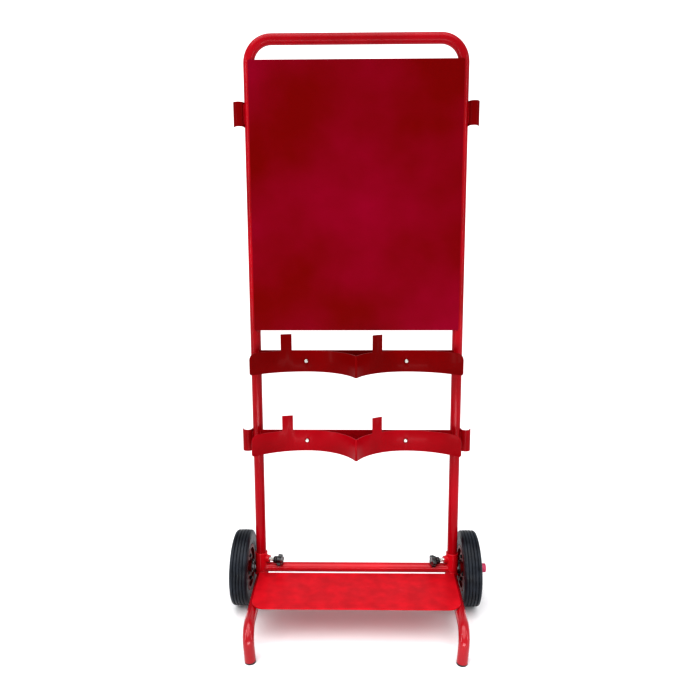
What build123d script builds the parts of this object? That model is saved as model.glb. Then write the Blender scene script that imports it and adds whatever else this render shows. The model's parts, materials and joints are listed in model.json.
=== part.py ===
"""Two-wheeled tubular trolley for a pair of portable fire extinguishers.

The welded upper frame (inverted-U tube, backboard, two cradles and four side hooks) stands in two sockets
of the welded base and is held there by two star-knob screws. All sizes are in millimetres.
Left and right are as seen from the front. X runs to the right, the front faces -Y, +Z is up, and the
origin is on the floor, midway between the uprights and about midway between the feet and the tyres' backs.
"""

from math import cos, radians, sin, sqrt
import os

from build123d import *

os.makedirs("parts", exist_ok=True)

# ------------------------------------------------------------------ driving dimensions

SIDES = {"left": -1, "right": 1}

# running gear
AXLE_Y = 88.7
AXLE_Z = 100.0
AXLE_R = 8.0
AXLE_END_X = {"left": 347.0, "right": 354.0}
TYRE_R = AXLE_Z
TYRE_WIDTH = 47.0
WHEEL_X = {"left": 313.5, "right": 308.5}
HUB_INNER_HALF = 24.7
HUB_OUTER_HALF = 27.0
CAP_R = 12.0
CAP_WALL = 3.0
CAP_ROUNDING = 2.5
CAP_PUSH_FIT = 0.02
AXLE_CHAMFER = 1.0

# upper frame
UPRIGHT_X = 264.0
TUBE_R = 13.45
TUBE_WALL = 1.6
HANDLE_Z = 1480.0
HANDLE_BEND_R = 56.0
UPRIGHT_END_Z = AXLE_Z + AXLE_R + 0.1
BOARD_BOTTOM_Z = 765.0
BOARD_TOP_Z = 1429.0
BOARD_THICKNESS = 1.5
BOARD_CORNER_R = 3.0

# cradles and the flat bars behind them
CRADLE_Z = {"upper": 684.0, "lower": 469.0}
STRIP_HEIGHT = 56.0
STRIP_THICKNESS = 3.0
BAR_FRONT_Y = AXLE_Y - 11.0
BAY_X = 131.0
RIDGE_DEPTH = 86.0
END_X = 271.0
END_DEPTH = 55.0
END_TOP_CORNER_R = 18.0
END_LOW_CORNER_R = 6.0
TAB_X = {"left": -182.0, "right": 54.5}
TAB_WIDTH = {"left": 27.5, "right": 25.5}
TAB_RISE = {"upper": 43.5, "lower": 41.0}

# screws that hold the cradles to the bars
SCREW_R = 3.0
SCREW_HOLE_R = 3.05
SCREW_HEAD_R = 5.5
SCREW_HEAD_HEIGHT = 3.4
SCREW_HEAD_ROUNDING = 2.6
SCREW_SEAT_GAP = 0.15
SCREW_TIP = 1.5
SCREW_NUT_FLATS = 10.0
SCREW_NUT_HEIGHT = 5.0

# side hooks
HOOK_Z = {"upper": 1303.5, "lower": 468.0}
HOOK_HEIGHT = 58.0
HOOK_R = 13.75
HOOK_THICKNESS = 3.0
HOOK_TAIL = 8.0
HOOK_LIP = 1.5

# base
SLEEVE_R = 16.85
SLEEVE_BORE_R = TUBE_R + 0.3
SLEEVE_CHAMFER = 0.8
LEG_SLOT_R = TUBE_R + 0.8
SLEEVE_TOP_Z = 145.0
SLEEVE_BOTTOM_Z = 84.0
LEG_Z = 78.4
LEG_REAR_Y = AXLE_Y + 17.0
LEG_CORNER_X = 257.5
LEG_FOOT_X = 252.0
LEG_FOOT_Y = AXLE_Y - 266.0
LEG_BEND_R = 40.0
LEG_WALL = 3.2
PLUG_THICKNESS = 4.0
PLUG_TRIM = 1.5
PLUG_SHANK = 14.0
PLUG_SHANK_R = TUBE_R - LEG_WALL - 0.1
PLUG_SHANK_WALL = 2.0
FOOT_PLUG_ROUNDING = 1.2
REAR_PLUG_ROUNDING = 1.5
PLATE_THICKNESS = 4.0
PLATE_REAR_Y = AXLE_Y - 25.5
PLATE_FRONT_Y = AXLE_Y - 195.5
PLATE_CORNER_R = 35.0
PLATE_OVERHANG = 3.0
AXLE_TUBE_R = 12.7
AXLE_TUBE_BORE_R = 10.0

# clamp screws
CLAMP_Z = 127.0
CLAMP_TURN = 16.0
STUD_R = 4.95
STUD_HOLE_R = 5.3
STUD_TIP = TUBE_R + 0.1
STUD_CHAMFER = 0.8
BOSS_R = 10.0
BOSS_END = 25.0
BOSS_CHAMFER = 0.8
KNOB_START = 39.0
KNOB_HUB_LENGTH = 11.5
KNOB_HEAD_LENGTH = 11.5
KNOB_HUB_R = 11.0
KNOB_R = 16.5
KNOB_LOBES = 5
KNOB_LOBE_R = 4.6
KNOB_VALLEY_R = 12.5
KNOB_TAPER = 1.5
KNOB_INNER_BLEND = 2.0
KNOB_EDGE_R = 1.6

# running fit between two steel pieces, on the radius
SLIP = 0.05


def save(part, name):
    """Label a finished piece and write it as its own STEP file."""
    part.part.label = name
    export_step(part.part, f"parts/{name}.step")


# ------------------------------------------------------------------ upper frame

with BuildPart() as frame_tube:
    with BuildLine(Plane.XZ.offset(-AXLE_Y)) as tube_path:
        FilletPolyline(
            (-UPRIGHT_X, UPRIGHT_END_Z),
            (-UPRIGHT_X, HANDLE_Z),
            (UPRIGHT_X, HANDLE_Z),
            (UPRIGHT_X, UPRIGHT_END_Z),
            radius=HANDLE_BEND_R,
        )
    with BuildSketch(Plane(origin=tube_path.line @ 0, z_dir=tube_path.line % 0)):
        Circle(TUBE_R)
        Circle(TUBE_R - TUBE_WALL, mode=Mode.SUBTRACT)
    sweep()
save(frame_tube, "frame_tube")

BOARD_BACK_Y = AXLE_Y - TUBE_R

with BuildPart() as backboard:
    with BuildSketch(Plane.XZ.offset(-BOARD_BACK_Y)):
        with Locations((0, (BOARD_BOTTOM_Z + BOARD_TOP_Z) / 2)):
            RectangleRounded(2 * UPRIGHT_X, BOARD_TOP_Z - BOARD_BOTTOM_Z, BOARD_CORNER_R)
    extrude(amount=BOARD_THICKNESS)
save(backboard, "backboard")


def circle_through(half_chord, depth):
    """Radius of an arc that starts level and has fallen by depth at half_chord along."""
    return (half_chord**2 + depth**2) / (2 * depth)


RIDGE_ARC_R = circle_through(BAY_X, RIDGE_DEPTH)
END_ARC_R = circle_through(END_X - BAY_X, END_DEPTH)


def arc_y(radius, run):
    """Y of a bay's rear face at the given X distance from the bay's middle."""
    return BAR_FRONT_Y - radius + sqrt(radius**2 - run**2)


def half_strip_profile():
    """Plan of one bay of a cradle strip, from the centre ridge to the rounded outer end."""
    ridge = (0, arc_y(RIDGE_ARC_R, BAY_X))
    middle = (BAY_X, BAR_FRONT_Y)
    end = (END_X, arc_y(END_ARC_R, END_X - BAY_X))
    lean = (END_X - BAY_X) / END_ARC_R
    end_front = (END_X - STRIP_THICKNESS * lean, end[1] - STRIP_THICKNESS * sqrt(1 - lean**2))
    middle_front = (BAY_X, BAR_FRONT_Y - STRIP_THICKNESS)
    front_r = RIDGE_ARC_R - STRIP_THICKNESS
    ridge_front = (0, BAR_FRONT_Y - RIDGE_ARC_R + sqrt(front_r**2 - BAY_X**2))
    with BuildSketch() as profile:
        with BuildLine():
            RadiusArc(ridge, middle, RIDGE_ARC_R)
            RadiusArc(middle, end, END_ARC_R)
            Line(end, end_front)
            RadiusArc(end_front, middle_front, -(END_ARC_R - STRIP_THICKNESS))
            RadiusArc(middle_front, ridge_front, -front_r)
            Line(ridge_front, ridge)
        make_face()
    return profile.sketch


def tab_zone():
    """Plan of the two lengths of the strip that carry on upwards as tabs."""
    with BuildSketch() as zone:
        for side_name in SIDES:
            with Locations((TAB_X[side_name], BAR_FRONT_Y)):
                Rectangle(TAB_WIDTH[side_name], 2 * RIDGE_DEPTH)
    return zone.sketch


def bay_places(y, z):
    """Places at the middle of both bays, facing forwards."""
    return [Location((side * BAY_X, y, z), (90, 0, 0)) for side in (-1, 1)]


def cradle(middle_z, tab_rise):
    """Sheet strip with two concave bays, a forward centre ridge, two tabs and two screw holes."""
    low = middle_z - STRIP_HEIGHT / 2
    with BuildPart() as strip:
        with BuildSketch(Plane.XY.offset(low)):
            add(half_strip_profile())
            mirror(about=Plane.YZ)
        extrude(amount=STRIP_HEIGHT)
        short_edges = strip.edges().filter_by(lambda e: abs(e.length - STRIP_THICKNESS) < 0.01)
        end_edges = short_edges.filter_by(lambda e: abs(e.center().X) > END_X / 2).group_by(Axis.Z)
        fillet(end_edges[-1], END_TOP_CORNER_R)
        fillet(end_edges[0], END_LOW_CORNER_R)
        ridge_edges = strip.edges().filter_by(Axis.Z).filter_by(lambda e: abs(e.center().X) < 0.1)
        fillet(ridge_edges.sort_by(Axis.Y)[0], STRIP_THICKNESS)
        with BuildSketch(Plane.XY.offset(low + STRIP_HEIGHT / 2)):
            add(half_strip_profile())
            mirror(about=Plane.YZ)
            add(tab_zone(), mode=Mode.INTERSECT)
        extrude(amount=STRIP_HEIGHT / 2 + tab_rise)
        with Locations(*bay_places(BAR_FRONT_Y, middle_z)):
            Cylinder(SCREW_HOLE_R, 4 * STRIP_THICKNESS, mode=Mode.SUBTRACT)
    return strip


def crossbar(middle_z):
    """Flat bar between the uprights, its ends cut to the tubes, drilled in line with the cradle."""
    with BuildPart() as bar:
        with BuildSketch(Plane.XZ.offset(-BAR_FRONT_Y - STRIP_THICKNESS)):
            with Locations((0, middle_z)):
                Rectangle(2 * UPRIGHT_X, STRIP_HEIGHT)
        extrude(amount=STRIP_THICKNESS)
        with Locations(*[Location((side * UPRIGHT_X, AXLE_Y, middle_z)) for side in (-1, 1)]):
            Cylinder(TUBE_R, 2 * STRIP_HEIGHT, mode=Mode.SUBTRACT)
        with Locations(*bay_places(BAR_FRONT_Y, middle_z)):
            Cylinder(SCREW_HOLE_R, 4 * STRIP_THICKNESS, mode=Mode.SUBTRACT)
    return bar


def cradle_screws(middle_z):
    """Two domed screws, heads in the bays, through the cradle and the bar."""
    seat_y = BAR_FRONT_Y - STRIP_THICKNESS - SCREW_SEAT_GAP
    tip_y = BAR_FRONT_Y + STRIP_THICKNESS + SCREW_NUT_HEIGHT + SCREW_TIP
    with BuildPart() as screws:
        with BuildSketch(Plane.XZ.offset(-seat_y)):
            with Locations((-BAY_X, middle_z), (BAY_X, middle_z)):
                Circle(SCREW_HEAD_R)
        extrude(amount=SCREW_HEAD_HEIGHT)
        fillet(screws.edges().group_by(Axis.Y)[0], SCREW_HEAD_ROUNDING)
        with BuildSketch(Plane.XZ.offset(-tip_y)):
            with Locations((-BAY_X, middle_z), (BAY_X, middle_z)):
                Circle(SCREW_R)
        extrude(amount=tip_y - seat_y)
    return screws


def cradle_nuts(middle_z):
    """Two hexagon nuts behind the bar."""
    back_y = BAR_FRONT_Y + STRIP_THICKNESS + SCREW_NUT_HEIGHT
    with BuildPart() as nuts:
        with BuildSketch(Plane.XZ.offset(-back_y)):
            with Locations((-BAY_X, middle_z), (BAY_X, middle_z)):
                RegularPolygon(SCREW_NUT_FLATS / 2, 6, major_radius=False)
                Circle(SCREW_HOLE_R, mode=Mode.SUBTRACT)
        extrude(amount=SCREW_NUT_HEIGHT)
    return nuts


for level, level_z in CRADLE_Z.items():
    save(cradle(level_z, TAB_RISE[level]), f"cradle_{level}")
    save(crossbar(level_z), f"crossbar_{level}")
    save(cradle_screws(level_z), f"cradle_screws_{level}")
    save(cradle_nuts(level_z), f"cradle_nuts_{level}")


def side_hook(side, middle_z):
    """Strip bent to a U, open to the rear, with its long leg against the upright's outer side."""
    near = UPRIGHT_X + TUBE_R
    centre = near + HOOK_R
    inner_r = HOOK_R - HOOK_THICKNESS
    with BuildPart() as hook:
        with BuildSketch(Plane.XY.offset(middle_z - HOOK_HEIGHT / 2)):
            with Locations((side * centre, AXLE_Y)):
                Circle(HOOK_R)
                Circle(inner_r, mode=Mode.SUBTRACT)
                Rectangle(4 * HOOK_R, 2 * HOOK_R, align=(Align.CENTER, Align.MIN), mode=Mode.SUBTRACT)
            with Locations((side * (near + HOOK_THICKNESS / 2), AXLE_Y)):
                Rectangle(HOOK_THICKNESS, HOOK_TAIL, align=(Align.CENTER, Align.MIN))
            with Locations((side * (near + 2 * HOOK_R - HOOK_THICKNESS / 2), AXLE_Y)):
                Rectangle(HOOK_THICKNESS, HOOK_LIP, align=(Align.CENTER, Align.MIN))
        extrude(amount=HOOK_HEIGHT)
    return hook


for level, level_z in HOOK_Z.items():
    for side_name, side in SIDES.items():
        save(side_hook(side, level_z), f"side_hook_{level}_{side_name}")

# ------------------------------------------------------------------ base


def clamp_plane(side, distance):
    """Plane square to a clamp screw, at a distance from the upright's axis, facing the knob."""
    turn = radians(CLAMP_TURN)
    direction = Vector(-side * cos(turn), -sin(turn), 0)
    centre = Vector(side * UPRIGHT_X, AXLE_Y, CLAMP_Z)
    return Plane(origin=centre + direction * distance, z_dir=direction)


def sleeve(side):
    """Socket tube, cut to sit on the leg tube, with holes for the axle and the clamp screw."""
    with BuildPart() as socket:
        with BuildSketch(Plane.XY.offset(SLEEVE_BOTTOM_Z)):
            with Locations((side * UPRIGHT_X, AXLE_Y)):
                Circle(SLEEVE_R)
                Circle(SLEEVE_BORE_R, mode=Mode.SUBTRACT)
        extrude(amount=SLEEVE_TOP_Z - SLEEVE_BOTTOM_Z)
        chamfer(socket.faces().sort_by(Axis.Z)[-1].outer_wire().edges(), SLEEVE_CHAMFER)
        with BuildSketch(Plane.XZ.offset(-AXLE_Y - 2 * SLEEVE_R)):
            with Locations((side * UPRIGHT_X, LEG_Z)):
                Circle(LEG_SLOT_R)
        extrude(amount=4 * SLEEVE_R, mode=Mode.SUBTRACT)
        with Locations(Location((side * UPRIGHT_X, AXLE_Y, AXLE_Z), (0, 90, 0))):
            Cylinder(AXLE_R + SLIP, 3 * SLEEVE_R, mode=Mode.SUBTRACT)
        with BuildSketch(clamp_plane(side, SLEEVE_BORE_R / 2)):
            Circle(STUD_HOLE_R)
        extrude(amount=SLEEVE_BORE_R, mode=Mode.SUBTRACT)
    return socket


def clamp_nut(side):
    """Round threaded boss, cut to the socket's side and drilled for the clamp screw."""
    with BuildPart() as boss:
        with BuildSketch(clamp_plane(side, SLEEVE_BORE_R)):
            Circle(BOSS_R)
        extrude(amount=BOSS_END - SLEEVE_BORE_R)
        along_screw = Axis((0, 0, 0), clamp_plane(side, 0).z_dir)
        chamfer(boss.faces().sort_by(along_screw)[-1].edges(), BOSS_CHAMFER)
        with Locations(Location((side * UPRIGHT_X, AXLE_Y, CLAMP_Z))):
            Cylinder(SLEEVE_R, 4 * BOSS_R, mode=Mode.SUBTRACT)
        with BuildSketch(clamp_plane(side, 0)):
            Circle(STUD_R + SLIP)
        extrude(amount=2 * BOSS_END, mode=Mode.SUBTRACT)
    return boss


TOE_IN = (UPRIGHT_X - LEG_CORNER_X) / (AXLE_Y - LEG_FOOT_Y)


def leg_tube(side):
    """Tube forward from under the socket, toed in a little, then bent down to the floor."""
    rear_x = UPRIGHT_X + TOE_IN * (LEG_REAR_Y - AXLE_Y)
    with BuildPart() as leg:
        with BuildLine() as leg_path:
            FilletPolyline(
                (side * rear_x, LEG_REAR_Y, LEG_Z),
                (side * LEG_CORNER_X, LEG_FOOT_Y, LEG_Z),
                (side * LEG_FOOT_X, LEG_FOOT_Y, PLUG_THICKNESS),
                radius=LEG_BEND_R,
            )
        with BuildSketch(Plane(origin=leg_path.line @ 0, z_dir=leg_path.line % 0)):
            Circle(TUBE_R)
            Circle(TUBE_R - LEG_WALL, mode=Mode.SUBTRACT)
        sweep()
    return leg, leg_path.line


def tube_plug(mouth, outward, trim, rounding):
    """Plastic plug: a shank in the tube's end, and a flange whose outer face stays above the floor."""
    with BuildPart() as plug:
        with BuildSketch(Plane(origin=mouth, z_dir=outward)):
            Circle(TUBE_R)
        extrude(amount=PLUG_THICKNESS + trim)
        if trim:
            split(bisect_by=Plane.XY, keep=Keep.TOP)
        fillet(plug.faces().sort_by(Axis(mouth, outward))[-1].edges(), rounding)
        with BuildSketch(Plane(origin=mouth, z_dir=outward)):
            Circle(PLUG_SHANK_R)
            Circle(PLUG_SHANK_R - PLUG_SHANK_WALL, mode=Mode.SUBTRACT)
        extrude(amount=-PLUG_SHANK)
    return plug


for side_name, side in SIDES.items():
    save(sleeve(side), f"sleeve_{side_name}")
    save(clamp_nut(side), f"clamp_nut_{side_name}")
    leg, leg_line = leg_tube(side)
    save(leg, f"leg_tube_{side_name}")
    save(tube_plug(leg_line @ 0, -(leg_line % 0), 0, REAR_PLUG_ROUNDING), f"leg_plug_{side_name}")
    save(tube_plug(leg_line @ 1, leg_line % 1, PLUG_TRIM, FOOT_PLUG_ROUNDING), f"foot_plug_{side_name}")

PLATE_BOTTOM_Z = LEG_Z + TUBE_R
PLATE_REAR_X = UPRIGHT_X + PLATE_OVERHANG - TOE_IN * (AXLE_Y - PLATE_REAR_Y)
PLATE_FRONT_X = UPRIGHT_X + PLATE_OVERHANG - TOE_IN * (AXLE_Y - PLATE_FRONT_Y)

with BuildPart() as footplate:
    with BuildSketch(Plane.XY.offset(PLATE_BOTTOM_Z)) as plate_outline:
        with BuildLine():
            Polyline(
                (-PLATE_REAR_X, PLATE_REAR_Y),
                (-PLATE_FRONT_X, PLATE_FRONT_Y),
                (PLATE_FRONT_X, PLATE_FRONT_Y),
                (PLATE_REAR_X, PLATE_REAR_Y),
                close=True,
            )
        make_face()
        fillet(plate_outline.vertices().group_by(Axis.Y)[0], PLATE_CORNER_R)
    extrude(amount=PLATE_THICKNESS)
save(footplate, "footplate")

with BuildPart() as axle_tube:
    with BuildSketch(Plane.YZ.offset(-UPRIGHT_X)):
        with Locations((AXLE_Y, AXLE_Z)):
            Circle(AXLE_TUBE_R)
            Circle(AXLE_TUBE_BORE_R, mode=Mode.SUBTRACT)
    extrude(amount=2 * UPRIGHT_X)
    with Locations(*[Location((side * UPRIGHT_X, AXLE_Y, AXLE_Z)) for side in SIDES.values()]):
        Cylinder(SLEEVE_R, 4 * AXLE_TUBE_R, mode=Mode.SUBTRACT)
save(axle_tube, "axle_tube")

# ------------------------------------------------------------------ axle


def ring_on_axle(start_x, end_x, outer_r, inner_r):
    """Flat ring, or disc, round the axle line between two X positions."""
    with BuildPart() as ring:
        with BuildSketch(Plane.YZ.offset(start_x)):
            with Locations((AXLE_Y, AXLE_Z)):
                Circle(outer_r)
                if inner_r:
                    Circle(inner_r, mode=Mode.SUBTRACT)
        extrude(amount=end_x - start_x)
    return ring.part


with BuildPart() as axle:
    add(ring_on_axle(-AXLE_END_X["left"], AXLE_END_X["right"], AXLE_R, 0))
    chamfer(axle.edges().filter_by(GeomType.CIRCLE), AXLE_CHAMFER)
save(axle, "axle")

WASHER_R = 16.5
WASHER_THICKNESS = 2.0
INNER_WASHER_X = UPRIGHT_X + SLEEVE_R + 0.4
WASHER_PLAY = 0.3

with BuildPart() as axle_washers:
    for side_name, side in SIDES.items():
        for washer_x in (INNER_WASHER_X, WHEEL_X[side_name] + HUB_OUTER_HALF + WASHER_PLAY):
            washer_end = washer_x + WASHER_THICKNESS
            add(ring_on_axle(side * washer_x, side * washer_end, WASHER_R, AXLE_R + SLIP))
save(axle_washers, "axle_washers")

for side_name, side in SIDES.items():
    cap_start = WHEEL_X[side_name] + HUB_OUTER_HALF + WASHER_PLAY + WASHER_THICKNESS
    axle_end = AXLE_END_X[side_name]
    with BuildPart() as axle_cap:
        add(ring_on_axle(side * cap_start, side * (axle_end + CAP_WALL), CAP_R, 0))
        fillet(axle_cap.faces().sort_by(Axis.X)[-1 if side > 0 else 0].edges(), CAP_ROUNDING)
        with BuildSketch(Plane.YZ.offset(side * cap_start)):
            with Locations((AXLE_Y, AXLE_Z)):
                Circle(AXLE_R + CAP_PUSH_FIT)
        extrude(amount=side * (axle_end - cap_start), mode=Mode.SUBTRACT)
    save(axle_cap, f"axle_cap_{side_name}")

# ------------------------------------------------------------------ wheels

RIM_SEAT_R = 54.0
RIM_LIP_R = 61.0
RIM_SHEET = 2.0
RIM_LIP_X = 19.0
RIM_DISC_X = 13.0
RIM_EMBOSS = 1.5
EMBOSS_HALF_WIDTH = 9.0
EMBOSS_SLOPE = 2.0
RIM_EDGE_R = 0.8
RIM_MIDDLE_GAP = 0.1
HUB_R = 16.0
HUB_BORE_R = 12.0
BUSH_FLANGE = 2.2
BUSH_FLANGE_R = HUB_R - 1
BUSH_LENGTH = 14.0
BUSH_BORE_R = AXLE_R + 0.06
BOLT_R = 3.0
BOLT_HOLE_R = 3.02
BOLT_TIP = 1.5
BOLT_CIRCLE_R = 33.0
BOLT_COUNT = 4
HEX_FLATS = 10.0
HEAD_HEIGHT = 4.0
NUT_HEIGHT = 5.0
GROOVE_COUNT = 4
GROOVE_PITCH = 8.4
GROOVE_WIDTH = 2.2
GROOVE_DEPTH = 2.4
TREAD_CROWN = 0.8
SHOULDER = 5.0
SHOULDER_INSET = 1.5
BEAD_GAP = 0.5


def wheel_plane(side, wheel_x):
    """Half-section plane of a wheel: first axis outwards along the axle, second axis upwards."""
    return Plane(origin=(side * wheel_x, AXLE_Y, AXLE_Z), x_dir=(side, 0, 0), z_dir=(0, -side, 0))


AXLE_LINE = Axis((0, AXLE_Y, AXLE_Z), (1, 0, 0))


def mirrored(point):
    """The same point on the other side of a wheel's middle plane."""
    return (-point[0], point[1])


def tyre(side, wheel_x):
    """Solid rubber tyre with rounded shoulders, bulged sides and grooves round the tread."""
    half = TYRE_WIDTH / 2
    bead = (RIM_LIP_X, RIM_LIP_R + BEAD_GAP)
    bulge = (half, (RIM_LIP_R + TYRE_R) / 2)
    shoulder_low = (half - SHOULDER_INSET, TYRE_R - SHOULDER)
    shoulder_mid = (half - 2 * SHOULDER_INSET, TYRE_R - 2)
    tread_edge = (half - SHOULDER - 1, TYRE_R - TREAD_CROWN)
    with BuildPart() as rubber:
        with BuildSketch(wheel_plane(side, wheel_x)):
            with BuildLine():
                Line((0, RIM_SEAT_R), (RIM_LIP_X, RIM_SEAT_R))
                Line((RIM_LIP_X, RIM_SEAT_R), bead)
                ThreePointArc(bead, bulge, shoulder_low)
                ThreePointArc(shoulder_low, shoulder_mid, tread_edge)
                ThreePointArc(tread_edge, (0, TYRE_R), mirrored(tread_edge))
                ThreePointArc(mirrored(tread_edge), mirrored(shoulder_mid), mirrored(shoulder_low))
                ThreePointArc(mirrored(shoulder_low), mirrored(bulge), mirrored(bead))
                Line(mirrored(bead), (-RIM_LIP_X, RIM_SEAT_R))
                Line((-RIM_LIP_X, RIM_SEAT_R), (0, RIM_SEAT_R))
            make_face()
            for groove in range(GROOVE_COUNT):
                groove_x = (groove - (GROOVE_COUNT - 1) / 2) * GROOVE_PITCH
                with Locations((groove_x, TYRE_R)):
                    Rectangle(GROOVE_WIDTH, 2 * GROOVE_DEPTH, mode=Mode.SUBTRACT)
        revolve(axis=AXLE_LINE)
    return rubber


def rim_half(side, wheel_x, outward):
    """Pressed rim half: seat, lip and a disc with a raised ring, from the middle out to one face."""
    wall_r = RIM_SEAT_R - RIM_SHEET
    lip_face = RIM_LIP_X + RIM_SHEET
    disc_face = RIM_DISC_X + RIM_SHEET
    ring_low = BOLT_CIRCLE_R - EMBOSS_HALF_WIDTH
    ring_high = BOLT_CIRCLE_R + EMBOSS_HALF_WIDTH
    section = [
        (RIM_MIDDLE_GAP, wall_r),
        (RIM_MIDDLE_GAP, RIM_SEAT_R),
        (RIM_LIP_X, RIM_SEAT_R),
        (RIM_LIP_X, RIM_LIP_R),
        (lip_face, RIM_LIP_R),
        (lip_face, wall_r),
        (disc_face, wall_r),
        (disc_face, ring_high + EMBOSS_SLOPE),
        (disc_face + RIM_EMBOSS, ring_high),
        (disc_face + RIM_EMBOSS, ring_low),
        (disc_face, ring_low - EMBOSS_SLOPE),
        (disc_face, HUB_R),
        (RIM_DISC_X, HUB_R),
        (RIM_DISC_X, ring_low - EMBOSS_SLOPE),
        (RIM_DISC_X + RIM_EMBOSS, ring_low),
        (RIM_DISC_X + RIM_EMBOSS, ring_high),
        (RIM_DISC_X, ring_high + EMBOSS_SLOPE),
        (RIM_DISC_X, wall_r),
    ]
    with BuildPart() as half_rim:
        with BuildSketch(wheel_plane(side, wheel_x)):
            with BuildLine():
                Polyline(*[(outward * x, r) for x, r in section], close=True)
            make_face()
        revolve(axis=AXLE_LINE)
        round_edges = half_rim.edges().filter_by(GeomType.CIRCLE)
        fillet(round_edges.filter_by(lambda e: abs(e.radius - RIM_LIP_R) < 0.01), RIM_EDGE_R)
        with BuildSketch(Plane.YZ.offset(side * wheel_x)):
            with Locations((AXLE_Y, AXLE_Z)):
                with PolarLocations(BOLT_CIRCLE_R, BOLT_COUNT):
                    Circle(BOLT_HOLE_R)
        extrude(amount=2 * RIM_LIP_X, both=True, mode=Mode.SUBTRACT)
    return half_rim


def hub(side, wheel_x):
    """Steel tube through the middle of the wheel."""
    start = side * (wheel_x - HUB_INNER_HALF + BUSH_FLANGE)
    end = side * (wheel_x + HUB_OUTER_HALF - BUSH_FLANGE)
    with BuildPart() as tube:
        add(ring_on_axle(start, end, HUB_R, HUB_BORE_R))
    return tube


def bushes(side, wheel_x):
    """Two flanged nylon bushes, one in each end of the hub."""
    with BuildPart() as pair:
        for face_x, inwards in ((wheel_x - HUB_INNER_HALF, 1), (wheel_x + HUB_OUTER_HALF, -1)):
            flange_end = face_x + inwards * BUSH_FLANGE
            shank_end = flange_end + inwards * BUSH_LENGTH
            add(ring_on_axle(side * face_x, side * flange_end, BUSH_FLANGE_R, BUSH_BORE_R))
            add(ring_on_axle(side * flange_end, side * shank_end, HUB_BORE_R, BUSH_BORE_R))
    return pair


DISC_FACE = RIM_DISC_X + RIM_SHEET + RIM_EMBOSS


def rim_bolts(side, wheel_x):
    """Hexagon bolts that hold the two rim halves together, heads on the wheel's outer face."""
    with BuildPart() as bolts:
        with BuildSketch(Plane.YZ.offset(side * (wheel_x + DISC_FACE))):
            with Locations((AXLE_Y, AXLE_Z)):
                with PolarLocations(BOLT_CIRCLE_R, BOLT_COUNT):
                    RegularPolygon(HEX_FLATS / 2, 6, major_radius=False)
        extrude(amount=side * HEAD_HEIGHT)
        with BuildSketch(Plane.YZ.offset(side * (wheel_x + DISC_FACE))):
            with Locations((AXLE_Y, AXLE_Z)):
                with PolarLocations(BOLT_CIRCLE_R, BOLT_COUNT):
                    Circle(BOLT_R)
        extrude(amount=-side * (2 * DISC_FACE + NUT_HEIGHT + BOLT_TIP))
    return bolts


def rim_nuts(side, wheel_x):
    """Hexagon nuts on the bolts, against the wheel's inner face."""
    with BuildPart() as nuts:
        with BuildSketch(Plane.YZ.offset(side * (wheel_x - DISC_FACE))):
            with Locations((AXLE_Y, AXLE_Z)):
                with PolarLocations(BOLT_CIRCLE_R, BOLT_COUNT):
                    RegularPolygon(HEX_FLATS / 2, 6, major_radius=False)
                    Circle(BOLT_HOLE_R, mode=Mode.SUBTRACT)
        extrude(amount=-side * NUT_HEIGHT)
    return nuts


for side_name, side in SIDES.items():
    wheel_x = WHEEL_X[side_name]
    save(tyre(side, wheel_x), f"tyre_{side_name}")
    save(rim_half(side, wheel_x, -1), f"rim_inner_{side_name}")
    save(rim_half(side, wheel_x, 1), f"rim_outer_{side_name}")
    save(hub(side, wheel_x), f"hub_{side_name}")
    save(bushes(side, wheel_x), f"bushes_{side_name}")
    save(rim_bolts(side, wheel_x), f"rim_bolts_{side_name}")
    save(rim_nuts(side, wheel_x), f"rim_nuts_{side_name}")

# ------------------------------------------------------------------ clamp screws


def clamp_stud(side):
    """Screw whose tip bears on the upright inside the socket."""
    length = KNOB_START + KNOB_HUB_LENGTH + KNOB_HEAD_LENGTH / 2 - STUD_TIP
    with BuildPart() as stud:
        with BuildSketch(clamp_plane(side, STUD_TIP)):
            Circle(STUD_R)
        extrude(amount=length)
        chamfer(stud.edges().filter_by(GeomType.CIRCLE), STUD_CHAMFER)
    return stud


def clamp_knob(side):
    """Star knob: a plain hub towards the socket and a lobed head."""
    head_start = KNOB_START + KNOB_HUB_LENGTH
    along_screw = Axis((0, 0, 0), clamp_plane(side, 0).z_dir)
    with BuildPart() as knob:
        with BuildSketch(clamp_plane(side, KNOB_START)):
            Circle(KNOB_HUB_R - KNOB_TAPER)
        with BuildSketch(clamp_plane(side, head_start)):
            Circle(KNOB_HUB_R)
        loft()
        with BuildSketch(clamp_plane(side, head_start)) as star:
            Circle(KNOB_VALLEY_R)
            with PolarLocations(KNOB_R - KNOB_LOBE_R, KNOB_LOBES):
                Circle(KNOB_LOBE_R)
            fillet(star.vertices(), KNOB_INNER_BLEND)
        extrude(amount=KNOB_HEAD_LENGTH)
        fillet(knob.faces().sort_by(along_screw)[-1].edges(), KNOB_EDGE_R)
        with BuildSketch(clamp_plane(side, KNOB_START)):
            Circle(STUD_R + SLIP)
        extrude(amount=KNOB_HUB_LENGTH + KNOB_HEAD_LENGTH / 2 + SLIP, mode=Mode.SUBTRACT)
    return knob


for side_name, side in SIDES.items():
    save(clamp_stud(side), f"clamp_stud_{side_name}")
    save(clamp_knob(side), f"clamp_knob_{side_name}")
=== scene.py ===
import json
import math

import bpy
from mathutils import Matrix, Vector


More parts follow.
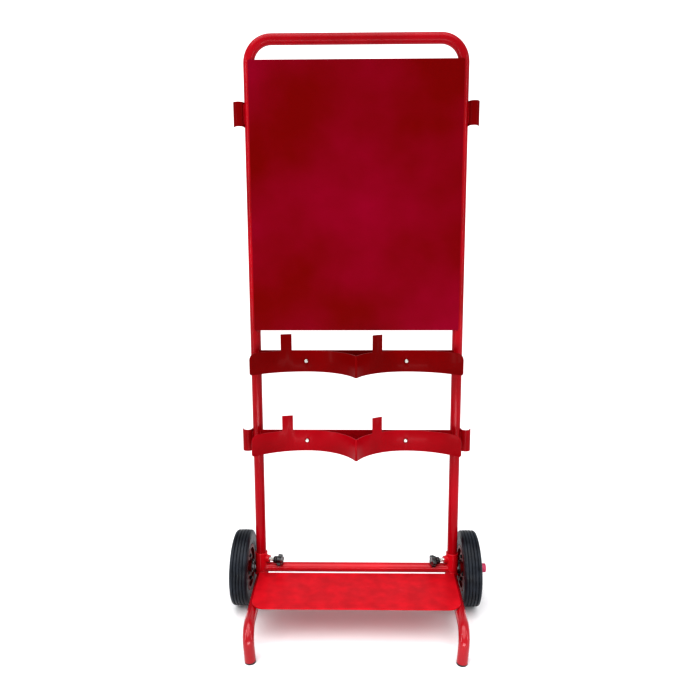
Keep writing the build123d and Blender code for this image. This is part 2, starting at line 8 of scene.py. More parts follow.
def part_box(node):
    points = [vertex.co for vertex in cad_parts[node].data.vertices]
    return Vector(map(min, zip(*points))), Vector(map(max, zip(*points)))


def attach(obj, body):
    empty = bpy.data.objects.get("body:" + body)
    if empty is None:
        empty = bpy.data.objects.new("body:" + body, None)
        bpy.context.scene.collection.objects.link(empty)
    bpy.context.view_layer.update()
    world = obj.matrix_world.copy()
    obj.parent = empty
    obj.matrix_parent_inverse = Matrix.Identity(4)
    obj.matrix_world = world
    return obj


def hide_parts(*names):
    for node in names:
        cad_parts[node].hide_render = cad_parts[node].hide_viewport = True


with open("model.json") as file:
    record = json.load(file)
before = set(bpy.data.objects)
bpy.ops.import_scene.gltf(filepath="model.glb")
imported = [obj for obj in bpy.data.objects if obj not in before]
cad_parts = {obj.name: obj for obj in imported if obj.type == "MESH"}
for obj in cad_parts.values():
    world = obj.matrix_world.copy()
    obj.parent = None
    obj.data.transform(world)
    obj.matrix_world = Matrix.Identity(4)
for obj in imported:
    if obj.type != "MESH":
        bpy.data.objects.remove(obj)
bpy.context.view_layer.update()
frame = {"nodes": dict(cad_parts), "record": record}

nodes = frame["nodes"]
MM = 0.001
SIDES = {"left": -1, "right": 1}

# ------------------------------------------------------------------ where things are, read from the frame


def centre_of(name):
    low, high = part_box(name)
    return (low + high) / 2


axle_low, axle_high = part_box("axle")
AXLE_Y = (axle_low.y + axle_high.y) / 2
AXLE_Z = (axle_low.z + axle_high.z) / 2
WHEEL_X = {name: abs(centre_of(f"tyre_{name}").x) for name in SIDES}
SLEEVE_X = centre_of("sleeve_right").x
SLEEVE_R = (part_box("sleeve_right")[1].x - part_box("sleeve_right")[0].x) / 2
SLEEVE_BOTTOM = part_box("sleeve_right")[0].z
TUBE_R = (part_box("frame_tube")[1].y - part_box("frame_tube")[0].y) / 2
AXLE_TUBE_R = (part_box("axle_tube")[1].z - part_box("axle_tube")[0].z) / 2
LEG_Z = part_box("footplate")[0].z - TUBE_R
TYRE_R = (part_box("tyre_right")[1].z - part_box("tyre_right")[0].z) / 2
CLAMP_Z = centre_of("clamp_nut_right").z
CLAMP_TURN = math.radians(16)


# ------------------------------------------------------------------ node helpers


def new_material(name):
    material = bpy.data.materials.new(name)
    material.use_nodes = True
    tree = material.node_tree
    tree.nodes.clear()
    output = tree.nodes.new("ShaderNodeOutputMaterial")
    shader = tree.nodes.new("ShaderNodeBsdfPrincipled")
    tree.links.new(shader.outputs["BSDF"], output.inputs["Surface"])
    return material, tree, shader


def put(tree, kind, inputs=None, **settings):
    """Add a node; an input is a number, a colour or another node's output."""
    node = tree.nodes.new(kind)
    for key, value in settings.items():
        setattr(node, key, value)
    for key, value in (inputs or {}).items():
        if isinstance(value, bpy.types.NodeSocket):
            tree.links.new(value, node.inputs[key])
        else:
            node.inputs[key].default_value = value
    return node


def place(tree):
    """The object's own coordinates, in metres."""
    return put(tree, "ShaderNodeTexCoord").outputs["Object"]


def noise(tree, scale, detail=2.0, roughness=0.5, vector=None, distortion=0.0):
    inputs = {
        "Vector": vector if vector is not None else place(tree),
        "Scale": scale,
        "Detail": detail,
        "Roughness": roughness,
        "Distortion": distortion,
    }
    return put(tree, "ShaderNodeTexNoise", inputs).outputs["Fac"]


def spread(tree, value, low, high, to_low=0.0, to_high=1.0):
    """Map a range of values to another range, clamped."""
    inputs = {"Value": value, "From Min": low, "From Max": high, "To Min": to_low, "To Max": to_high}
    return put(tree, "ShaderNodeMapRange", inputs).outputs["Result"]


def math_node(tree, operation, a, b=0.0):
    node = put(tree, "ShaderNodeMath", operation=operation)
    for socket, value in zip(node.inputs, (a, b)):
        if isinstance(value, bpy.types.NodeSocket):
            tree.links.new(value, socket)
        else:
            socket.default_value = value
    return node.outputs[0]


def mix_colour(tree, factor, a, b):
    node = put(tree, "ShaderNodeMix", data_type="RGBA")
    for index, value in ((0, factor), (6, a), (7, b)):
        if isinstance(value, bpy.types.NodeSocket):
            tree.links.new(value, node.inputs[index])
        else:
            node.inputs[index].default_value = value
    return node.outputs[2]


def stretched(tree, x, y, z):
    """Object coordinates scaled unevenly, for streaks and grain."""
    return put(tree, "ShaderNodeMapping", {"Vector": place(tree), "Scale": (x, y, z)}).outputs["Vector"]


def edge_mask(tree, radius):
    """1 on edges and 0 on flats: how far a rounded normal leans from the true one."""
    rounded = put(tree, "ShaderNodeBevel", {"Radius": radius}, samples=4).outputs["Normal"]
    true = put(tree, "ShaderNodeNewGeometry").outputs["Normal"]
    dot = put(tree, "ShaderNodeVectorMath", operation="DOT_PRODUCT")
    tree.links.new(rounded, dot.inputs[0])
    tree.links.new(true, dot.inputs[1])
    return spread(tree, dot.outputs["Value"], 0.985, 0.86)


def bump(tree, height, strength, distance, normal=None):
    inputs = {"Height": height, "Strength": strength, "Distance": distance}
    if normal is not None:
        inputs["Normal"] = normal
    return put(tree, "ShaderNodeBump", inputs).outputs["Normal"]


# ------------------------------------------------------------------ materials


RED_WORN = (0.62, 0.05, 0.09, 1)
RUBBED_EDGE = 1.2 * MM
SOFT_EDGE = 0.7 * MM
PEEL_HEIGHT = 0.22 * MM
FLECK_HEIGHT = 0.4 * MM
FINE_GRAIN = 0.1 * MM


def powder_coat(
    name,
    deep,
    light,
    scuffs=0.0,
    roughness=(0.2, 0.3),
    specular=0.3,
    coat=0.15,
    rubbed=0.3,
    cloud_scale=7.0,
    peel_strength=0.22,
):
    """Gloss powder coat: orange peel, cloudy colour, pale scuffs, and paler rubbed edges. Its deep and
    light colours also carry painted light and shade, because each part gets a brighter or darker copy of
    the same red.
    """
    material, tree, shader = new_material(name)
    cloud = noise(tree, cloud_scale, 4.0, 0.5)
    fleck = noise(tree, 260.0, 2.0, 0.5)
    colour = mix_colour(tree, spread(tree, cloud, 0.35, 0.68), deep, light)
    patchy = spread(tree, noise(tree, 90.0, 4.0, 0.7), 0.42, 0.62)
    rub = math_node(tree, "MULTIPLY", edge_mask(tree, RUBBED_EDGE), patchy)
    colour = mix_colour(tree, math_node(tree, "MULTIPLY", rub, rubbed), colour, RED_WORN)
    marks = spread(tree, noise(tree, 1.0, 5.0, 0.65, stretched(tree, 34.0, 120.0, 60.0), 0.4), 0.66, 0.74)
    marks = math_node(tree, "MULTIPLY", marks, scuffs)
    colour = mix_colour(tree, marks, colour, RED_WORN)
    tree.links.new(colour, shader.inputs["Base Color"])
    smear = spread(tree, noise(tree, 14.0, 5.0, 0.6), 0.3, 0.7, roughness[0], roughness[1])
    dulled = math_node(tree, "ADD", smear, math_node(tree, "MULTIPLY", marks, 0.2))
    tree.links.new(dulled, shader.inputs["Roughness"])
    shader.inputs["Specular IOR Level"].default_value = specular
    shader.inputs["Coat Weight"].default_value = coat
    shader.inputs["Coat Roughness"].default_value = 0.08
    peel = noise(tree, 520.0, 2.0, 0.45)
    rounded = put(tree, "ShaderNodeBevel", {"Radius": SOFT_EDGE}, samples=4).outputs["Normal"]
    normal = bump(tree, peel, peel_strength, PEEL_HEIGHT, rounded)
    normal = bump(tree, fleck, 0.06, FLECK_HEIGHT, normal)
    tree.links.new(normal, shader.inputs["Normal"])
    return material


# The whole frame wears one red powder coat. Here it is made in copies of different brightness: the base and
# footplate copies are painted light, and the leg, tube, cradle, board and frame copies are darker as
# painted shade.
BASE_LIT_DEEP = (0.40, 0.004, 0.013, 1)
BASE_LIT_PALE = (0.52, 0.006, 0.018, 1)

red_board_painted_shade = powder_coat(
    "red_powder_board_painted_shade",
    (0.155, 0.0002, 0.0006, 1),
    (0.225, 0.0002, 0.024, 1),
    roughness=(0.3, 0.38),
    specular=0.05,
    coat=0.02,
    rubbed=0.1,
    cloud_scale=3.2,
)
red_frame_painted_shade = powder_coat(
    "red_powder_frame_painted_shade",
    (0.14, 0.0002, 0.0008, 1),
    (0.18, 0.0002, 0.002, 1),
    roughness=(0.3, 0.4),
    specular=0.04,
    coat=0.03,
    rubbed=0.15,
)
red_cradle_painted_shade = powder_coat(
    "red_powder_cradle_painted_shade",
    (0.23, 0.0006, 0.005, 1),
    (0.31, 0.001, 0.010, 1),
    roughness=(0.28, 0.4),
    specular=0.08,
    coat=0.05,
)
red_tube_painted_shade = powder_coat(
    "red_powder_tube_painted_shade",
    (0.26, 0.0008, 0.006, 1),
    (0.36, 0.0012, 0.012, 1),
    roughness=(0.12, 0.2),
    specular=0.13,
    coat=0.12,
    rubbed=0.2,
    peel_strength=0.4,
)
red_base_painted_light = powder_coat(
    "red_powder_base_painted_light",
    BASE_LIT_DEEP,
    BASE_LIT_PALE,
    roughness=(0.14, 0.24),
    coat=0.2,
    peel_strength=0.4,
)
red_leg_painted_shade = powder_coat(
    "red_powder_leg_painted_shade",
    (0.27, 0.002, 0.008, 1),
    (0.36, 0.004, 0.013, 1),
    roughness=(0.1, 0.2),
    specular=0.4,
    coat=0.35,
    rubbed=0.4,
    peel_strength=0.5,
)
red_plate_painted_light = powder_coat(
    "red_powder_plate_painted_light",
    BASE_LIT_DEEP,
    BASE_LIT_PALE,
    scuffs=0.85,
    roughness=(0.42, 0.55),
    specular=0.2,
    coat=0.03,
    cloud_scale=30.0,
)
# The rims' red is painted much darker than the frame's, as painted shade inside the wheel.
red_rim_painted_shade = powder_coat(
    "red_rim_paint_painted_shade",
    (0.10, 0.0008, 0.002, 1),
    (0.15, 0.001, 0.004, 1),
    roughness=(0.3, 0.4),
    specular=0.06,
    coat=0.03,
    rubbed=0.1,
)
red_cap = powder_coat("red_cap_paint", (0.36, 0.02, 0.07, 1), (0.48, 0.05, 0.12, 1))


def bright_zinc(name, tint, roughness):
    """Bare or plated metal with a fine grain and a slightly cloudy tone."""
    material, tree, shader = new_material(name)
    grain = noise(tree, 1.0, 3.0, 0.6, stretched(tree, 900.0, 900.0, 120.0))
    cloud = noise(tree, 60.0, 3.0, 0.6)
    dark = tuple(0.72 * c for c in tint[:3]) + (1,)
    colour = mix_colour(tree, spread(tree, cloud, 0.3, 0.7), dark, tint)
    tree.links.new(colour, shader.inputs["Base Color"])
    brushed = spread(tree, grain, 0.3, 0.7, roughness - 0.07, roughness + 0.1)
    tree.links.new(brushed, shader.inputs["Roughness"])
    shader.inputs["Metallic"].default_value = 1.0
    tree.links.new(bump(tree, grain, 0.12, FINE_GRAIN), shader.inputs["Normal"])
    return material


zinc = bright_zinc("zinc_plated_steel", (0.80, 0.80, 0.77, 1), 0.25)
steel = bright_zinc("drawn_steel", (0.40, 0.40, 0.41, 1), 0.32)
# Near-black zinc on the wheels' bolts, nuts and washers is painted shade inside the wheel.
wheel_zinc_painted_shade = bright_zinc("zinc_on_wheels_painted_shade", (0.10, 0.10, 0.10, 1), 0.4)
screw_zinc = bright_zinc("zinc_on_cradle_screws", (0.46, 0.47, 0.44, 1), 0.28)


def tyre_rubber():
    """Black rubber with a faint bloom, specks of dust and a fine mould texture."""
    material, tree, shader = new_material("tyre_rubber")
    bloom = spread(tree, noise(tree, 38.0, 5.0, 0.65), 0.4, 0.72)
    colour = mix_colour(tree, bloom, (0.008, 0.010, 0.014, 1), (0.024, 0.030, 0.040, 1))
    dust = spread(tree, noise(tree, 210.0, 4.0, 0.7), 0.6, 0.8)
    colour = mix_colour(tree, math_node(tree, "MULTIPLY", dust, 0.3), colour, (0.06, 0.06, 0.065, 1))
    tree.links.new(colour, shader.inputs["Base Color"])
    tree.links.new(spread(tree, bloom, 0.0, 1.0, 0.33, 0.5), shader.inputs["Roughness"])
    shader.inputs["Specular IOR Level"].default_value = 0.28
    tree.links.new(bump(tree, noise(tree, 1300.0, 3.0, 0.6), 0.25, FINE_GRAIN), shader.inputs["Normal"])
    return material


def moulded(name, dark, light, roughness, coat):
    """Moulded plastic with a fine grain and a faintly uneven tone and gloss."""
    material, tree, shader = new_material(name)
    cloud = spread(tree, noise(tree, 120.0, 3.0, 0.6), 0.35, 0.7)
    tree.links.new(mix_colour(tree, cloud, dark, light), shader.inputs["Base Color"])
    tree.links.new(spread(tree, cloud, 0.0, 1.0, roughness, roughness + 0.12), shader.inputs["Roughness"])
    shader.inputs["Coat Weight"].default_value = coat
    shader.inputs["Coat Roughness"].default_value = 0.12
    tree.links.new(bump(tree, noise(tree, 900.0, 2.0, 0.5), 0.12, FINE_GRAIN), shader.inputs["Normal"])
    return material


rubber = tyre_rubber()
knob_black = moulded("knob_plastic", (0.002, 0.002, 0.0025, 1), (0.006, 0.006, 0.007, 1), 0.14, 0.8)
plug_black = moulded("plug_plastic", (0.012, 0.012, 0.013, 1), (0.03, 0.03, 0.03, 1), 0.45, 0.0)
# The nylon bushes are near-black as painted shade inside the wheel hub.
nylon_painted_shade = moulded("bush_nylon", (0.02, 0.02, 0.02, 1), (0.04, 0.04, 0.04, 1), 0.4, 0.0)

by_slot = {
    "red_paint": red_frame_painted_shade,
    "rim_paint": red_rim_painted_shade,
    "cap_paint": red_cap,
    "zinc_plate": zinc,
    "axle_steel": steel,
    "tyre_rubber": rubber,
    "knob_plastic": knob_black,
    "plug_plastic": plug_black,
    "bush_nylon": nylon_painted_shade,
}
BASE_RED = ("sleeve", "clamp_nut", "leg_tube", "axle_tube")
for row in frame["record"]["subparts"]:
    name = row["node"]
    chosen = by_slot[row["material_slot"]]
    # Each part gets a brighter or darker copy of the same red, as painted light and shade.
    if name.startswith(BASE_RED):
        chosen = red_base_painted_light
    if name.startswith("leg_tube"):
        chosen = red_leg_painted_shade
    if name == "footplate":
        chosen = red_plate_painted_light
    if name == "backboard":
        chosen = red_board_painted_shade
    if name == "frame_tube":
        chosen = red_tube_painted_shade
    if name in ("cradle_lower", "crossbar_lower") or name.startswith("side_hook_lower"):
        chosen = red_cradle_painted_shade
    # The wheels' bolts, nuts and washers get near-black zinc as painted shade.
    if name.startswith(("rim_bolts", "rim_nuts", "axle_washers")):
        chosen = wheel_zinc_painted_shade
    if name.startswith(("cradle_screws", "cradle_nuts")):
        chosen = screw_zinc
    nodes[name].data.materials.clear()
    nodes[name].data.materials.append(chosen)


MERGE_DISTANCE = 0.01 * MM
SHEET_EDGE = 0.5 * MM
SHEETS = ("footplate", "backboard", "crossbar_upper", "crossbar_lower", "cradle_upper", "cradle_lower")


def soften_edges(name, width):
    """Merge the split corners of a sheet part and round its edges a little."""
    merge = nodes[name].modifiers.new("merge", "WELD")
    merge.merge_threshold = MERGE_DISTANCE
    rounding = nodes[name].modifiers.new("edge", "BEVEL")
    rounding.width = width
    rounding.segments = 2
    rounding.limit_method = "ANGLE"
    rounding.angle_limit = math.radians(50)
    rounding.harden_normals = False


# ------------------------------------------------------------------ mesh helpers


def make_piece(name, verts, faces, material, body, sharp=40.0):
    mesh = bpy.data.meshes.new(name)
    mesh.from_pydata([tuple(v) for v in verts], [], faces)
    mesh.update()
    mesh.shade_smooth()
    mesh.set_sharp_from_angle(angle=math.radians(sharp))
    mesh.materials.append(material)
    piece = bpy.data.objects.new(name, mesh)
    bpy.context.scene.collection.objects.link(piece)
    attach(piece, body)
    return piece


def ring_faces(start, rings, around, closed_rings=False):
    """Quads between successive rings of vertices."""
    faces = []
    for i in range(rings if closed_rings else rings - 1):
        for j in range(around):
            a = start + i * around + j
            b = start + i * around + (j + 1) % around
            shift = around if i + 1 < rings else -i * around
            faces.append((a, b, b + shift, a + shift))
    return faces


def surface_of_turning(rows, frame_of, around, closed=False):
    """Sweep rows round an axis. A row turns an angle into (along, radius); frame_of makes that a point."""
    verts = []
    for row in rows:
        for j in range(around):
            angle = 2 * math.pi * j / around
            along, radius = row(angle)
            verts.append(frame_of(along, radius, angle))
    return verts, ring_faces(0, len(rows), around, closed)


# ------------------------------------------------------------------ weld beads

WELD_SPACING = 0.7 * MM
WELD_AROUND = 8
RIPPLE_PITCH = 3.1 * MM


def resample(points, spacing, closed):
    """Points at even spacing along a line, and the line's length."""
    line = [Vector(p) for p in points]
    if closed:
        line.append(line[0])
    lengths = [0.0]
    for a, b in zip(line, line[1:]):
        lengths.append(lengths[-1] + (b - a).length)
    count = max(4, round(lengths[-1] / spacing))
    found, segment = [], 0
    for k in range(count if closed else count + 1):
        target = lengths[-1] * k / count
        while segment < len(line) - 2 and lengths[segment + 1] < target:
            segment += 1
        run = max(lengths[segment + 1] - lengths[segment], 1e-9)
        found.append(line[segment].lerp(line[segment + 1], (target - lengths[segment]) / run))
    return found, lengths[-1]


def bead(points, radius, closed, seed):
    """A weld bead: overlapping ripples along a line, a little uneven, with tapered ends."""
    line, length = resample(points, WELD_SPACING, closed)
    count = len(line)
    verts = []
    for k, point in enumerate(line):
        before = line[(k - 1) % count] if closed or k else point
        after = line[(k + 1) % count] if closed or k + 1 < count else point
        along = (after - before).normalized()
        side = along.cross(Vector((0.31, 0.27, 0.91))).normalized()
        up = side.cross(along)
        run = length * k / count
        phase = (run / RIPPLE_PITCH + 0.17 * math.sin(run * 410 + seed)) % 1.0
        swell = 0.86 + 0.2 * math.sqrt(1 - (2 * phase - 1) ** 2)
        swell *= 1 + 0.07 * math.sin(run * 650 + 2.1 * seed)
        if not closed:
            end = min(k, count - 1 - k) * WELD_SPACING
            swell *= math.sqrt(min(1.0, (end + 0.2 * MM) / (1.6 * radius)))
        for j in range(WELD_AROUND):
            turn = 2 * math.pi * j / WELD_AROUND
            verts.append(point + (side * math.cos(turn) + up * math.sin(turn)) * radius * swell)
    faces = ring_faces(0, count, WELD_AROUND, closed)
    if not closed:
        faces.append(tuple(range(WELD_AROUND))[::-1])
        faces.append(tuple(range((count - 1) * WELD_AROUND, count * WELD_AROUND)))
    return verts, faces


def weld_piece(name, beads, material, body):
    """One piece that holds all the weld beads of a body."""
    verts, faces = [], []
    for seed, (points, radius, closed) in enumerate(beads):
        more, quads = bead(points, radius, closed, seed)
        faces += [tuple(i + len(verts) for i in quad) for quad in quads]
        verts += more
    return make_piece(name, verts, faces, material, body, 60)


def circle_angles(count=72):
    return [2 * math.pi * k / count for k in range(count)]


def sleeve_foot_line(side):
    """Where the socket tube stands on the leg tube."""
    line = []
    for t in circle_angles():
        x, y = SLEEVE_R * math.cos(t), SLEEVE_R * math.sin(t)
        low = SLEEVE_BOTTOM - LEG_Z
        rise = math.sqrt(max(TUBE_R**2 - x**2, low**2))
        line.append((side * SLEEVE_X + x, AXLE_Y + y, LEG_Z + rise))
    return line


def axle_tube_line(side):
    """Where the axle tube meets the socket tube."""
    line = []
    for t in circle_angles():
        y, z = AXLE_TUBE_R * math.cos(t), AXLE_TUBE_R * math.sin(t)
        reach = math.sqrt(SLEEVE_R**2 - y**2)
        line.append((side * (SLEEVE_X - reach - 0.3 * MM), AXLE_Y + y, AXLE_Z + z))
    return line


def clamp_axes(side):
    """The clamp screw's origin on the socket's axis, its outward direction, and the level one across it."""
    out = Vector((-side * math.cos(CLAMP_TURN), -math.sin(CLAMP_TURN), 0))
    across = Vector((-out.y, out.x, 0))
    return Vector((side * SLEEVE_X, AXLE_Y, CLAMP_Z)), out, across


def boss_line(side, radius):
    """Where the clamp's boss stands on the socket tube."""
    origin, out, across = clamp_axes(side)
    line = []
    for t in circle_angles():
        u, z = radius * math.cos(t), radius * math.sin(t)
        reach = math.sqrt(SLEEVE_R**2 - u**2) + 0.3 * MM
        line.append(origin + out * reach + across * u + Vector((0, 0, z)))
    return line


def stitches(start, end, count, length):
    """Short beads shared out along a line."""
    start, end = Vector(start), Vector(end)
    run = (end - start).length
    along = (end - start) / run
    gap = (run - count * length) / max(count - 1, 1)
    return [
        [start + along * (k * (length + gap)), start + along * (k * (length + gap) + length)]
        for k in range(count)
    ]


base_beads, frame_beads = [], []
plate_low, plate_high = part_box("footplate")
for side in SIDES.values():
    base_beads.append((sleeve_foot_line(side), 1.9 * MM, True))
    base_beads.append((axle_tube_line(side), 1.7 * MM, True))
    base_beads.append((boss_line(side, 10 * MM), 1.3 * MM, True))
    rear = Vector((side * (SLEEVE_X - 1.2 * MM), plate_high.y - 6 * MM, plate_low.z))
    front = Vector((side * (plate_high.x - 7.3 * MM), plate_low.y + 42 * MM, plate_low.z))
    for run in stitches(rear, front, 3, 24 * MM):
        base_beads.append((run, 1.5 * MM, False))

board_low, board_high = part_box("backboard")
board_back = board_high.y
for side in SIDES.values():
    inner = side * (SLEEVE_X - 8.2 * MM)
    low_end = (inner, board_back + 1.2 * MM, board_low.z + 12 * MM)
    high_end = (inner, board_back + 1.2 * MM, board_high.z - 18 * MM)
    for run in stitches(low_end, high_end, 6, 26 * MM):
        frame_beads.append((run, 2.0 * MM, False))
    for level in ("upper", "lower"):
        bar_low, bar_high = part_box(f"crossbar_{level}")
        for depth, inset in ((bar_low.y + 0.2 * MM, 8.6), (bar_high.y + 0.2 * MM, 11.2)):
            edge = side * (SLEEVE_X - inset * MM)
            run = [(edge, depth, bar_low.z + 1 * MM), (edge, depth, bar_high.z - 1 * MM)]
            frame_beads.append((run, 1.7 * MM, False))
        hook_low, hook_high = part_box(f"side_hook_{level}_right")
        seam = side * (hook_low.x + 0.4 * MM)
        for seam_y, radius in ((hook_high.y + 0.2 * MM, 1.5 * MM), (AXLE_Y - 5.2 * MM, 1.6 * MM)):
            run = [(seam, seam_y, hook_low.z + 4 * MM), (seam, seam_y, hook_high.z - 4 * MM)]
            frame_beads.append((run, radius, False))

weld_piece("welds_base", base_beads, red_base_painted_light, "base")
weld_piece("welds_upper_frame", frame_beads, red_tube_painted_shade, "upper_frame")

# ------------------------------------------------------------------ tyres

TYRE_AROUND = 160
RIBS = 5
GROOVE_PITCH = 8.4
GROOVE_HALF = 1.1
GROOVE_DEPTH = 2.4
TREAD_HALF = 17.6
TREAD_CROWN = 0.8


def tyre_profile():
    """Closed section: millimetres from the wheel's middle plane, and millimetres from the axle."""
    top = TYRE_R / MM

    def crown(x):
        return top - TREAD_CROWN * (x / TREAD_HALF) ** 2 - 0.02

    points = [(-19.0, 54.0), (-19.0, 61.4), (-20.4, 62.6), (-21.6, 65.4), (-21.9, 68.0), (-22.6, 68.6)]
    points += [(-22.9, 70.0), (-22.6, 71.4), (-22.6, 74.0), (-23.2, 78.0), (-23.35, 81.0), (-23.2, 84.5)]
    points += [(-22.9, 87.6), (-23.3, 88.2), (-23.3, 90.2), (-22.7, 90.9), (-22.2, 94.0), (-21.2, 96.6)]
    points += [(-19.6, 98.3), (-TREAD_HALF, crown(TREAD_HALF))]
    side_count = len(points) - 1
    for g in range(RIBS - 1):
        middle = (g - (RIBS - 2) / 2) * GROOVE_PITCH
        left, right = middle - GROOVE_HALF, middle + GROOVE_HALF
        floor_left, floor_right = crown(left) - GROOVE_DEPTH, crown(right) - GROOVE_DEPTH
        points += [(left - 0.7, crown(left - 0.7)), (left - 0.15, crown(left) - 0.2)]
        points += [(left + 0.1, crown(left) - 0.7), (left + 0.35, floor_left + 0.3)]
        points += [(left + 0.75, floor_left), (right - 0.75, floor_right)]
        points += [(right - 0.35, floor_right + 0.3), (right - 0.1, crown(right) - 0.7)]
        points += [(right + 0.15, crown(right) - 0.2), (right + 0.7, crown(right + 0.7))]
        points.append((right + (GROOVE_PITCH / 2 - GROOVE_HALF), crown(right + 3.1)))
    points[-1] = (TREAD_HALF, crown(TREAD_HALF))
    points += [(-x, r) for x, r in reversed(points[:side_count])]
    return points


for side_name, side in SIDES.items():
    rows = [lambda angle, p=p: (p[0] * MM, p[1] * MM) for p in tyre_profile()]

    def on_wheel(along, radius, angle, side=side, middle=WHEEL_X[side_name]):
        y, z = radius * math.cos(angle), side * radius * math.sin(angle)
        return (side * (middle + along), AXLE_Y + y, AXLE_Z + z)

    verts, faces = surface_of_turning(rows, on_wheel, TYRE_AROUND, closed=True)
    body = f"wheel_{side_name}"
    tyre = make_piece(f"tyre_{side_name}_moulded", verts, faces, rubber, body, 35)
    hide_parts(f"tyre_{side_name}")

# ------------------------------------------------------------------ clamp knobs and studs

KNOB_AROUND = 120
LOBES = 5
LOBE_MIDDLE_R = 14.5
LOBE_DEPTH = 2.0
LOBE_SQUARENESS = 2.0
STUD_AROUND = 40
STUD_ROOT_R = 4.2
THREAD_CREST_R = 4.9
THREAD_DEPTH = 0.75
THREAD_PITCH = 1.5
THREAD_START = 20.0
THREAD_STEP = 0.15
THREAD_STEPS = 121


def star_radius(angle):
    """Radius of the knob's lobed outline."""
    wave = math.tanh(LOBE_SQUARENESS * math.cos(LOBES * angle)) / math.tanh(LOBE_SQUARENESS)
    return LOBE_MIDDLE_R + LOBE_DEPTH * wave


def circle_row(along, radius):
    """A round row, in millimetres."""
    return lambda angle: (along * MM, radius * MM)


def star_row(along, scale):
    """A knob row with the lobed outline."""
    return lambda angle: (along * MM, star_radius(angle) * scale * MM)


def thread_row(along):
    """A stud row whose radius follows the screw thread."""

    def row(angle):
        phase = (along / THREAD_PITCH - angle / (2 * math.pi)) % 1.0
        return along * MM, (THREAD_CREST_R - THREAD_DEPTH * abs(2 * phase - 1)) * MM

    return row


KNOB_ROWS = [
    circle_row(39.0, 5.2), circle_row(39.0, 8.8), circle_row(39.3, 9.3), circle_row(40.0, 9.6),
    circle_row(44.6, 10.1), circle_row(45.0, 10.5), circle_row(46.0, 10.5), circle_row(46.4, 10.2),
    circle_row(50.0, 10.9), circle_row(50.5, 11.2),
    star_row(50.7, 0.92), star_row(51.0, 0.97), star_row(51.7, 0.995), star_row(52.6, 1.0),
    star_row(59.2, 1.0), star_row(60.3, 0.985), star_row(61.1, 0.955), star_row(61.6, 0.915),
    star_row(61.9, 0.86), star_row(61.95, 0.76),
    circle_row(61.8, 8.9), circle_row(61.4, 8.5), circle_row(61.0, 8.1), circle_row(61.0, 6.2),
    circle_row(61.1, 5.0), circle_row(61.2, 2.5), circle_row(61.2, 0.05),
]
STUD_ROWS = [circle_row(13.6, 0.05), circle_row(13.6, 3.6), circle_row(14.3, STUD_ROOT_R)]
STUD_ROWS.append(circle_row(THREAD_START, STUD_ROOT_R))
STUD_ROWS += [thread_row(THREAD_START + THREAD_STEP * k) for k in range(THREAD_STEPS)]
STUD_ROWS += [circle_row(38.2, STUD_ROOT_R), circle_row(56.1, STUD_ROOT_R), circle_row(56.1, 0.05)]

for side_name, side in SIDES.items():
    origin, out, across = clamp_axes(side)

    def on_screw(along, radius, angle, origin=origin, out=out, across=across):
        rise = Vector((0, 0, radius * math.sin(angle)))
        return origin + out * along + across * radius * math.cos(angle) + rise

    verts, faces = surface_of_turning(KNOB_ROWS, on_screw, KNOB_AROUND)
    body = f"clamp_knob_{side_name}"
    knob = make_piece(f"knob_{side_name}_star", verts, faces, knob_black, body, 38)
    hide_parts(f"clamp_knob_{side_name}")
    verts, faces = surface_of_turning(STUD_ROWS, on_screw, STUD_AROUND)
    body = f"clamp_screw_{side_name}"
    stud = make_piece(f"stud_{side_name}_threaded", verts, faces, zinc, body, 75)
    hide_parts(f"clamp_stud_{side_name}")

for sheet in SHEETS:
    soften_edges(sheet, SHEET_EDGE)

# ------------------------------------------------------------------ floor, light and camera


def flat_square(name, half, z, material):
    mesh = bpy.data.meshes.new(name)
    corners = [(-half, -half, z), (half, -half, z), (half, half, z), (-half, half, z)]
    mesh.from_pydata(corners, [], [(0, 1, 2, 3)])
    mesh.materials.append(material)
    square = bpy.data.objects.new(name, mesh)
    bpy.context.scene.collection.objects.link(square)


FLOOR_HALF = 8.0
floor_paint, floor_tree, floor_shader = new_material("pale_floor")
floor_cloud = noise(floor_tree, 1.5, 3.0, 0.5)
floor_tone = mix_colour(floor_tree, floor_cloud, (0.86, 0.86, 0.865, 1), (0.88, 0.88, 0.88, 1))
floor_tree.links.new(floor_tone, floor_shader.inputs["Base Color"])
floor_shader.inputs["Roughness"].default_value = 0.9
floor_shader.inputs["Specular IOR Level"].default_value = 0.1
flat_square("floor", FLOOR_HALF, 0.0, floor_paint)

world = bpy.data.worlds.new("studio")
bpy.context.scene.world = world
world.use_nodes = True
sky = world.node_tree
sky.nodes.clear()
ray = put(sky, "ShaderNodeLightPath")
seen = put(sky, "ShaderNodeBackground", {"Color": (1, 1, 1, 1), "Strength": 1.0})
lit = put(sky, "ShaderNodeBackground", {"Color": (0.97, 0.98, 1, 1), "Strength": 0.6})
choice = put(sky, "ShaderNodeMixShader")
sky.links.new(ray.outputs["Is Camera Ray"], choice.inputs[0])
sky.links.new(lit.outputs[0], choice.inputs[1])
sky.links.new(seen.outputs[0], choice.inputs[2])
sky.links.new(choice.outputs[0], put(sky, "ShaderNodeOutputWorld").inputs["Surface"])


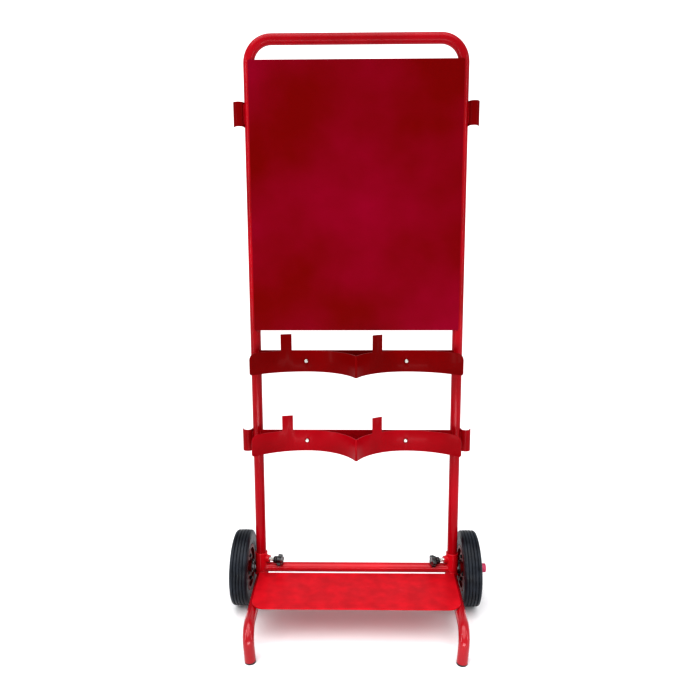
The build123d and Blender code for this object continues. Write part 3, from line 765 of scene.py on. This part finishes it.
def area_light(name, location, target, size_x, size_y, watts):
    data = bpy.data.lights.new(name, "AREA")
    data.shape = "RECTANGLE"
    data.size, data.size_y = size_x, size_y
    data.energy = watts
    lamp = bpy.data.objects.new(name, data)
    lamp.location = location
    lamp.rotation_mode = "QUATERNION"
    lamp.rotation_quaternion = (Vector(target) - Vector(location)).to_track_quat("-Z", "Y")
    bpy.context.scene.collection.objects.link(lamp)


sun_data = bpy.data.lights.new("broad_daylight", "SUN")
sun_data.energy = 1.6
sun_data.angle = math.radians(70)
sun = bpy.data.objects.new("broad_daylight", sun_data)
sun.rotation_mode = "QUATERNION"
sun.rotation_quaternion = Vector((0.12, 0.42, -1.0)).to_track_quat("-Z", "Y")
bpy.context.scene.collection.objects.link(sun)

area_light("overhead_softbox", (-0.3, -0.4, 3.0), (0, 0.1, 0), 2.4, 1.2, 7)
area_light("left_strip", (-2.2, -1.3, 1.3), (0, 0, 0.8), 0.3, 2.2, 13)
area_light("right_strip", (2.3, -1.0, 1.4), (0, 0, 0.8), 0.3, 2.2, 10)
area_light("low_front", (0.1, -1.35, 0.12), (0, 0.1, 0.35), 1.2, 0.2, 4)

YAW, PITCH, ROLL = math.radians(-0.93), math.radians(8.83), math.radians(-0.15)
CAMERA_SPOT = (0.0096, -1.5199, 0.9702)
FOCAL_LENGTH = 31.88
SENSOR_WIDTH = 36.0
SHIFT_UP = -0.005
ahead = Vector((math.sin(YAW) * math.cos(PITCH), math.cos(YAW) * math.cos(PITCH), -math.sin(PITCH)))
right = Vector((math.cos(YAW), -math.sin(YAW), 0))
up = right.cross(ahead)
right_rolled = right * math.cos(ROLL) + up * math.sin(ROLL)
up_rolled = up * math.cos(ROLL) - right * math.sin(ROLL)
camera_data = bpy.data.cameras.new("camera")
camera_data.sensor_width = SENSOR_WIDTH
camera_data.lens = FOCAL_LENGTH
camera_data.shift_y = SHIFT_UP
camera_data.dof.use_dof = False
camera_data.clip_start, camera_data.clip_end = 0.02, 60.0
camera = bpy.data.objects.new("camera", camera_data)
turn = Matrix((right_rolled, up_rolled, -ahead)).transposed().to_4x4()
camera.matrix_world = Matrix.Translation(CAMERA_SPOT) @ turn
bpy.context.scene.collection.objects.link(camera)
bpy.context.scene.camera = camera

bpy.context.scene.view_settings.view_transform = "Standard"
bpy.context.scene.view_settings.look = "High Contrast"
